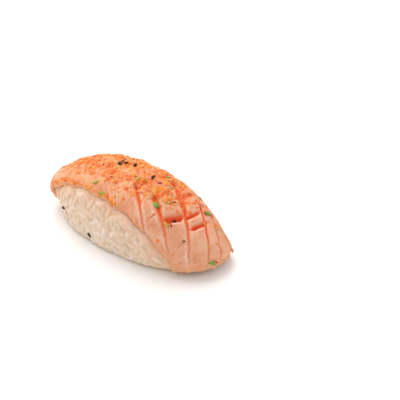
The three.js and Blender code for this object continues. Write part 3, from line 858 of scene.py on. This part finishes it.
def grain_bed(count, room, sink, seed):
    """Middles, lengthwise and outward directions and sizes of grains that lie on the core."""
    random = np.random.default_rng(seed)
    places, out = surface_points(core, GRAIN_TRIES, random)
    level = unit(np.stack([-out[:, 1], out[:, 0], np.full(len(out), 1e-6)], 1))
    way = turn_about(level, out, random.random(len(places)) * np.pi)
    size = 1 - GRAIN_VARY * random.random(len(places))
    kept, middles = [], []
    for k in range(len(places)):
        if len(kept) == count:
            break
        if out[k, 2] < -0.9 or kept and np.linalg.norm(places[kept] - places[k], axis=1).min() < room:
            continue
        radius = GRAIN_WIDTH * size[k] / 2
        balls = places[k] + np.outer(GRAIN_BALLS * GRAIN_LENGTH * size[k], way[k])
        for press in PRESSES:
            sunk = balls - out[k] * sink * GRAIN_WIDTH * press
            lift = max(0, radius - sunk[:, 2].min())
            sunk[:, 2] += lift
            if lift < GRAIN_LIFT and not meets_slice(sunk, radius * 0.9).any():
                kept.append(k)
                middles.append(sunk[1])
                break
    sizes = size[kept][:, None] * [GRAIN_LENGTH, GRAIN_WIDTH, GRAIN_WIDTH]
    return np.array(middles), way[kept], out[kept], sizes


def grains_on(name, bed, seed):
    middles, way, out, sizes = bed
    shades = np.random.default_rng(seed).random(len(way))
    return strewn(name, grain, middles, turning(way, out), sizes, shades)


# %% [markdown]
# ## Pressing the rice
#
# In the pressed pad the grains stick together, and their starch fills the gaps between them.
# Grains that only lie on each other would have dark gaps. So the core and most of the grains
# become one mass: a voxel remesh wraps them in one skin, and a little smoothing fills the
# gaps as the starch does. Remeshing loses what each grain kept, so each point of the skin
# then looks up its nearest grain for a shade, and keeps how close it lies to a second one,
# so that the material can paint crevice shade between the grains.
# The grains that nothing pressed stay loose, as a piece of their own on top.

# %% Press the rice
PRESSED, LOOSE = (620, 2.2, 0.12), (200, 4.2, 0.16)  # how many, the room each takes, how deep
VOXEL = 0.4 * MM
SMOOTHINGS = 2
CREVICE_SHADE_WIDTH = 0.6  # mm between two grains over which crevice shade is painted


def press(core, grains):
    """Makes the core and its grains one mass."""
    deselect_all()
    grains.select_set(True)
    core.select_set(True)
    bpy.context.view_layer.objects.active = core
    bpy.ops.object.join()
    bpy.ops.object.modifier_add(type="REMESH")
    core.modifiers[-1].mode = "VOXEL"
    core.modifiers[-1].voxel_size = VOXEL
    bpy.ops.object.modifier_apply(modifier=core.modifiers[-1].name)
    bpy.ops.object.modifier_add(type="SMOOTH")
    core.modifiers[-1].iterations = SMOOTHINGS
    bpy.ops.object.modifier_apply(modifier=core.modifiers[-1].name)
    bpy.ops.object.shade_smooth()


def store_grains(core, bed, seed):
    """Each vertex takes the shade of its nearest grain, and its share of painted crevice shade between two.
    """
    middles, way, _, sizes = bed
    shades = np.random.default_rng(seed).random(len(way))
    tree = kdtree.KDTree(len(way) * len(GRAIN_BALLS))
    for k in range(len(way)):
        for j, ball in enumerate(GRAIN_BALLS):
            tree.insert(middles[k] + ball * sizes[k, 0] * way[k], k * len(GRAIN_BALLS) + j)
    tree.balance()
    shade, crevice_shade = [], []
    for point in coordinates(core) / MM:
        found = [(index // len(GRAIN_BALLS), distance) for _, index, distance in tree.find_n(point, 4)]
        others = [distance for index, distance in found if index != found[0][0]]
        gap = (others[0] if others else found[-1][1]) - found[0][1]
        shade.append(shades[found[0][0]])
        crevice_shade.append(1 - min(1, gap / CREVICE_SHADE_WIDTH))
    store(core, "shade", shade)
    store(core, "crevice_shade", crevice_shade)


bed = grain_bed(*PRESSED, 5)
loose = grains_on("rice_grains", grain_bed(*LOOSE, 6), 7)
press(core, grains_on("pressed_grains", bed, 8))
store_grains(core, bed, 8)
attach(core, "root")
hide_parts("rice")
print("pressed rice", len(core.data.polygons), "faces")

# %% [markdown]
# ## Cooked rice
#
# Cooked rice is starch and water: a milky gel. It is white, but light goes deep into it and
# comes out warm, so the grains glow and have no hard shadows. Near the fish the rice is
# painted in its colour, as painted light reflected from the slice. That share is kept with
# the mesh, as a number that falls off with the distance from the slice's edge. A thin film
# of seasoned vinegar makes the grains a little glossy. A loose grain is too small to spread
# light far, so less of its light goes deep.

# %% Rice material
GLOW_REACH = 5.0  # mm from the slice's edge over which its colour fades


# the fish's colour is painted on the rice near the slice, as painted reflected light
def store_glow(piece):
    s, c, _ = undrape(coordinates(piece) / MM)
    store(piece, "glow", np.exp(-np.maximum(0, past_edge(s, c)) / GLOW_REACH))


def cooked_rice(name, light_depth, light_share):
    material, tree, shader = new_material(name)
    place = add(tree, "TexCoord", {}, {}, give="Object")
    shade, crevice_shade, glow = (
        add(tree, "Attribute", {"attribute_name": kept}, {}, give="Fac") for kept in ("shade", "crevice_shade", "glow")
    )
    milk = add(tree, "TexNoise", {}, {"Vector": place, "Scale": 250.0, "Detail": 2.0})
    colour = add(tree, "ValToRGB", {}, {"Fac": shade}, [
        (0.0, "#eccfb8"), (0.35, "#ecd8bc"), (0.7, "#f6e0d0"), (1.0, "#fcecde")])
    # crevices between grains are painted darker, as painted shade in the gaps that the remesh filled
    for part, most, shown in ((milk, 0.3, "#ecd0b4"), (crevice_shade, 0.4, "#e0c2a4"), (glow, 0.6, "#eeb48c")):
        share = add(tree, "Math", {"operation": "MULTIPLY"}, {0: part, 1: most})
        colour = add(tree, "Mix", COLOURS, {SHARE: share, FIRST: colour, SECOND: shown}, give=MIXED)
    tree.links.new(colour, shader.inputs["Base Color"])
    shader.inputs["Roughness"].default_value = 0.45
    shader.inputs["IOR"].default_value = 1.4
    shader.inputs["Subsurface Weight"].default_value = light_share
    shader.inputs["Subsurface Radius"].default_value = (1.0, 0.85, 0.65)
    shader.inputs["Subsurface Scale"].default_value = light_depth
    bump = add(tree, "Bump", {}, {"Height": milk, "Strength": 0.15, "Distance": 0.1 * MM})
    tree.links.new(bump, shader.inputs["Normal"])
    return material


for piece, name, light_depth, light_share in (
    (core, "pressed_cooked_rice", 2.2, 1.0), (loose, "loose_cooked_rice", 1.0, 0.25),
):
    store_glow(piece)
    piece.data.materials.append(cooked_rice(name, light_depth * MM, light_share))

# %% [markdown]
# ## Places on the slice
#
# Everything that lies on the slice needs its place, the way along the slice there, and the
# way out of it. They are read from the drape by small steps.

# %% On top of the slice
STEP = 0.05  # mm, for reading directions


def on_slice(s, c, sunk):
    """Places, directions along and directions outwards, for flat places on the slice."""
    height = top_of_slice(s, c, np.clip(c / reach_at(s, c), -1, 1))[0]
    top = drape(s, c, height)
    way = unit(drape(s + STEP, c, height) - top)
    out = unit(drape(s, c, height + STEP) - top)
    return drape(s, c, height - sunk), way, out


# %% [markdown]
# ## Spice crumbs
#
# The spice is a dry mix, mostly orange and some yellow. Its crumbs are broken flat bits from
# a third of a millimetre to over two, so small ones are many and large ones few. One crumb is
# a dented icosahedron, whose facets catch the light as those of real crumbs do, and each copy
# is flattened. Some lie along the slice's thin near edge, where they slid down.

# %% One crumb
CRUMB_DENTS = 0.35


def one_crumb(seed):
    deselect_all()
    bpy.ops.mesh.primitive_ico_sphere_add(subdivisions=1, radius=0.5)
    crumb = bpy.context.object
    random = np.random.default_rng(seed)
    dents = 1 - CRUMB_DENTS * random.random((len(crumb.data.vertices), 1))
    set_coordinates(crumb, coordinates(crumb) * dents)
    return model_arrays(crumb)


# %% Strew the crumbs
EDGE_ROOM = 0.7  # mm that the crumbs keep from the slice's edges
SLID, SLID_WIDTH, SLID_ENDS = 0.5, 2.2, (14, 56)  # share near the edge, its width in mm, and where
FLATTEST, FATTEST = (0.8, 0.5, 0.3), (1.3, 0.95, 0.6)  # shares of a crumb's size, each way
BATCH = 3000


def spice_places(count, random, sparse):
    """Flat places drawn by the spice's share, but at least by the sparse share everywhere."""
    found = np.empty((0, 2))
    while len(found) < count:
        s = random.uniform(2, SLICE_LENGTH - 2, BATCH)
        c = random.uniform(-FAR_REACH[1], FAR_REACH[1], BATCH)
        inwards = reach_at(s, c) - np.abs(c)
        slid = SLID * (c < 0) * (inwards < SLID_WIDTH) * (s > SLID_ENDS[0]) * (s < SLID_ENDS[1])
        wanted = np.maximum(spice_share(s, c), np.maximum(sparse, slid))
        chosen = (inwards > EDGE_ROOM) & (random.random(BATCH) < wanted)
        found = np.vstack([found, np.stack([s, c], 1)[chosen]])
    return found[:count].T


def strew_crumbs(name, count, smallest, largest, seed, sparse):
    random = np.random.default_rng(seed)
    s, c = spice_places(count, random, sparse)
    size = smallest * (largest / smallest) ** (random.random(count) ** 1.5)
    places, way, out = on_slice(s, c, size * 0.05)
    length = turn_about(way, out, random.random(count) * 2 * np.pi)
    sizes = size[:, None] * random.uniform(FLATTEST, FATTEST, (count, 3))
    shades = random.random(count)
    return strewn(name, one_crumb(seed), places, turning(length, out), sizes, shades, smooth=False)


crumbs = strew_crumbs("spice_crumbs", 2000, 0.9, 2.4, 11, 0.02)
powder = strew_crumbs("spice_powder", 3800, 0.35, 0.75, 12, 0.03)


# %% Spice material
def dry_spice():
    material, tree, shader = new_material("dry_orange_spice")
    shade = add(tree, "Attribute", {"attribute_name": "shade"}, {}, give="Fac")
    colour = add(tree, "ValToRGB", {}, {"Fac": shade}, [
        (0.0, "#ee5a14"), (0.3, "#f8761a"), (0.65, "#fc8e20"), (0.88, "#fda634"), (1.0, "#e6b440")])
    tree.links.new(colour, shader.inputs["Base Color"])
    shader.inputs["Roughness"].default_value = 0.55
    shader.inputs["Subsurface Weight"].default_value = 0.2
    shader.inputs["Subsurface Radius"].default_value = (1.0, 0.4, 0.15)
    shader.inputs["Subsurface Scale"].default_value = 0.4 * MM
    return material


spice_material = dry_spice()
for piece in (crumbs, powder):
    piece.data.materials.append(spice_material)

# %% [markdown]
# ## Black sesame
#
# A sesame seed is a flat drop, 3 mm long, round at one end and pointed at the other. Its
# black coat is dull with a faint sheen along its ridges. Their places are set one by one,
# because each is seen.

# %% Sesame
SEED_LENGTH, SEED_WIDTH, SEED_THICK = 2.8, 1.35, 0.9
# along, across, turn, tilt, and how deep it sits
SEEDS = np.array([
    (43.9, 0.1, -14, 0, 0), (43.1, 2.3, 70, -25, 0), (48.6, 2.7, 115, 0, 0.1), (58.9, 1.2, 105, 0, 0),
    (38.5, -2.5, 130, 0, 0.4), (77.2, -5.4, 35, 60, 0), (30, 14, 20, 0, 0), (64, 15, 120, 0, 0),
    (44.9, 1.6, 60, 0, 0.1),
])
RICE_SEEDS = ((226, 6.6, 20), (258, 3.5, -35))  # bearing round the pad, height, turn
RICE_SEED_RISE = 0.6  # mm that their middles stand out of the core, to lie on the grains


def one_seed():
    deselect_all()
    bpy.ops.mesh.primitive_uv_sphere_add(segments=16, ring_count=12, radius=0.5)
    seed = bpy.context.object
    bpy.ops.object.mode_set(mode="EDIT")
    bpy.ops.mesh.select_all(action="SELECT")
    bpy.ops.transform.rotate(value=math.pi / 2, orient_axis="Y", center_override=(0, 0, 0))
    bpy.ops.object.mode_set(mode="OBJECT")
    x, y, z = coordinates(seed).T
    pointed = 1 - 0.9 * np.clip(x + 0.1, 0, 1) ** 1.3
    set_coordinates(seed, np.stack([x, y * pointed, z * pointed], 1))
    return model_arrays(seed)


def on_pad(bearing, height):
    """A place on the pad's side, with the ways round it and out of it."""
    def at(turn, z):
        start = np.array([[*PAD_MIDDLE, z]])
        way = np.array([[PAD_HALF_LENGTH * math.cos(turn), PAD_HALF_WIDTH * math.sin(turn), 0]])
        return pad_edge(start, way)[0]
    place = at(bearing, height)
    way = at(bearing + 0.02, height) - place
    return place, unit(way), unit(np.cross(way, at(bearing, height + 1) - place))


def strew_seeds():
    s, c, turn, tilt, sunk = SEEDS.T
    places, way, out = on_slice(s, c, sunk - SEED_THICK * 0.2)
    length = turn_about(way, out, np.radians(turn))
    side = np.cross(out, length)
    length, out = turn_about(length, side, np.radians(tilt)), turn_about(out, side, np.radians(tilt))
    for bearing, height, turn in RICE_SEEDS:
        place, way, outwards = on_pad(math.radians(bearing), height)
        way = turn_about(way[None], outwards[None], np.radians([turn]))
        places = np.vstack([places, place + outwards * RICE_SEED_RISE])
        length, out = np.vstack([length, way]), np.vstack([out, outwards])
    sizes = np.tile([SEED_LENGTH, SEED_WIDTH, SEED_THICK], (len(places), 1))
    shades = np.linspace(0, 1, len(places))
    return strewn("black_sesame", one_seed(), places, turning(length, out), sizes, shades)


def seed_coat():
    material, tree, shader = new_material("black_sesame_coat")
    shade = add(tree, "Attribute", {"attribute_name": "shade"}, {}, give="Fac")
    colour = add(tree, "ValToRGB", {}, {"Fac": shade}, [(0.0, "#1c1410"), (1.0, "#2b2018")])
    tree.links.new(colour, shader.inputs["Base Color"])
    shader.inputs["Roughness"].default_value = 0.6
    shader.inputs["Specular IOR Level"].default_value = 0.3
    return material


seeds = strew_seeds()
seeds.data.materials.append(seed_coat())

# %% [markdown]
# ## Herb and chilli flakes
#
# Dried green herb is a thin leaf broken into curled bits, 1 to 3 mm across. The flake starts
# as a small grid, is bent and dented, and gets its thickness from a Solidify modifier. A few
# chilli flakes have the same shape, but they are red, so they are a piece of their own. Each
# flake that shows has its place, and its shade from dark to pale.

# %% Herb and chilli flakes
# along, across, size, turn and shade
HERBS = np.array([
    (13.3, 6.9, 2.0, 20, 0.3), (17.9, 9.1, 2.0, 80, 0.4), (23, 11.8, 2.8, 10, 0.9),
    (44.8, -2.2, 1.4, 0, 0.6), (42.3, -10, 2.6, 60, 0.8), (47.3, -12.6, 2.4, 30, 0.4),
    (55.6, -2.7, 2.2, 100, 0.8), (58.5, -1.5, 1.4, 40, 0.5), (60.7, 6.4, 2.2, 60, 0.4),
    (68.2, -6.3, 3.4, 20, 0.2), (62.8, -2.5, 1.5, 0, 0.3), (70.7, -3, 1.8, 90, 0.7),
    (73.8, 10, 1.8, 10, 0.4), (80.6, 6.2, 3.0, 70, 0.1), (96.6, -3.6, 2.9, 50, 0.2),
    (76.6, -8.6, 2.6, 15, 1.0), (27, 12.5, 2.2, 30, 0.4), (52, 14, 2.4, 40, 0.5),
])
CHILLIES = np.array([
    (62.5, 0.6, 1.9, 30, 0.4), (54.5, -2.3, 2.0, 10, 0.8), (77.7, -7.6, 1.6, 0, 1.0),
    (47.1, -6.5, 1.4, 20, 0.9), (97.0, -2.2, 1.5, 40, 1.0), (71.7, -1.4, 1.6, 60, 0.2),
    (84.9, -7.4, 1.7, 70, 0.0), (80.2, 5.2, 1.6, 0, 0.2), (35, 12, 1.6, 50, 0.8),
])


def one_flake():
    deselect_all()
    bpy.ops.mesh.primitive_grid_add(x_subdivisions=5, y_subdivisions=4, size=1)
    flake = bpy.context.object
    x, y, z = coordinates(flake).T
    ragged = np.array([noise.noise(Vector((a * 5, b * 5, 1.7))) for a, b in zip(x, y)])
    wide = 1 - np.abs(x * y) + 0.5 * ragged
    curl = 0.1 * np.cos(x * 3.5) + 0.12 * ragged
    set_coordinates(flake, np.stack([x * wide, y * wide * 0.55, curl], 1))
    bpy.ops.object.modifier_add(type="SOLIDIFY")
    flake.modifiers[-1].thickness = 0.1
    bpy.ops.object.modifier_apply(modifier=flake.modifiers[-1].name)
    return model_arrays(flake)


def strew_flakes(name, rows):
    s, c, size, turn, shade = rows.T
    places, way, out = on_slice(s, c, -0.06 * size)
    length = turn_about(way, out, np.radians(turn))
    return strewn(name, one_flake(), places, turning(length, out), np.tile(size[:, None], 3), shade)


def small_herbs(count, seed):
    """Rows of small flakes, strewn as the spice is."""
    random = np.random.default_rng(seed)
    s, c = spice_places(count, random, 0.05)
    size, turn, shade = random.uniform(0.9, 1.5, count), random.random(count) * 180, random.random(count)
    return np.stack([s, c, size, turn, shade], 1)


def dried_leaf(name, stops):
    material, tree, shader = new_material(name)
    shade = add(tree, "Attribute", {"attribute_name": "shade"}, {}, give="Fac")
    tree.links.new(add(tree, "ValToRGB", {}, {"Fac": shade}, stops), shader.inputs["Base Color"])
    shader.inputs["Roughness"].default_value = 0.6
    return material


herbs = strew_flakes("herb_flakes", np.concatenate([HERBS, small_herbs(12, 31)]))
herbs.data.materials.append(dried_leaf("dried_green_herb", [
    (0.0, "#6ea036"), (0.4, "#8ea83a"), (0.85, "#b2b63e"), (1.0, "#d0a43a")]))
chillies = strew_flakes("chilli_flakes", CHILLIES)
chillies.data.materials.append(dried_leaf("dried_red_chilli", [
    (0.0, "#7a4424"), (0.4, "#a8321c"), (1.0, "#dc4226")]))

# %% [markdown]
# ## Table and light
#
# The piece stands on a plain white table in a bright white room. Such a room lights it from
# all sides, so its shadows are short and soft. One large lamp high on the left gives the
# crest its light and leaves the front face a little darker.

# %% Table and light
TABLE_SIZE = 6.0
LAMP_PLACE = (-0.6, 0.25, 0.85)  # metres
LAMP_SIZE = 0.9
LAMP_POWER = 8.0
ROOM_LIGHT = 0.8


def white_table():
    deselect_all()
    bpy.ops.mesh.primitive_plane_add(size=TABLE_SIZE)
    table = bpy.context.object
    table.name = "table"
    material, _, shader = new_material("white_table")
    shader.inputs["Base Color"].default_value = tint("#f9f8f6")
    shader.inputs["Roughness"].default_value = 0.35
    table.data.materials.append(material)


def lamp():
    bpy.ops.object.light_add(type="AREA", location=LAMP_PLACE)
    light = bpy.context.object
    light.data.size = LAMP_SIZE
    light.data.energy = LAMP_POWER
    light.rotation_euler = Vector(LAMP_PLACE).to_track_quat("Z", "Y").to_euler()


def white_room():
    world = bpy.data.worlds.new("white_room")
    bpy.context.scene.world = world
    world.use_nodes = True
    world.node_tree.nodes["Background"].inputs["Color"].default_value = tint("#ffffff")
    world.node_tree.nodes["Background"].inputs["Strength"].default_value = ROOM_LIGHT


white_table()
white_room()
lamp()
bpy.context.scene.view_settings.view_transform = "Standard"

# %% [markdown]
# ## True to size
#
# The finished look has to keep the construction model's size. A few strewn crumbs and grains
# stand out of its box by some tenths of a millimetre, so what stands out is pushed back to
# the box's faces. Its lowest face is the table.

# %% Keep inside the box, measure and finish
pieces = (slab, core, loose, crumbs, powder, seeds, herbs, chillies)
for piece in pieces:
    set_coordinates(piece, np.clip(coordinates(piece), cad_box[0], cad_box[1]))
print("cad", [round(v * 1000, 2) for p in cad_box for v in p])
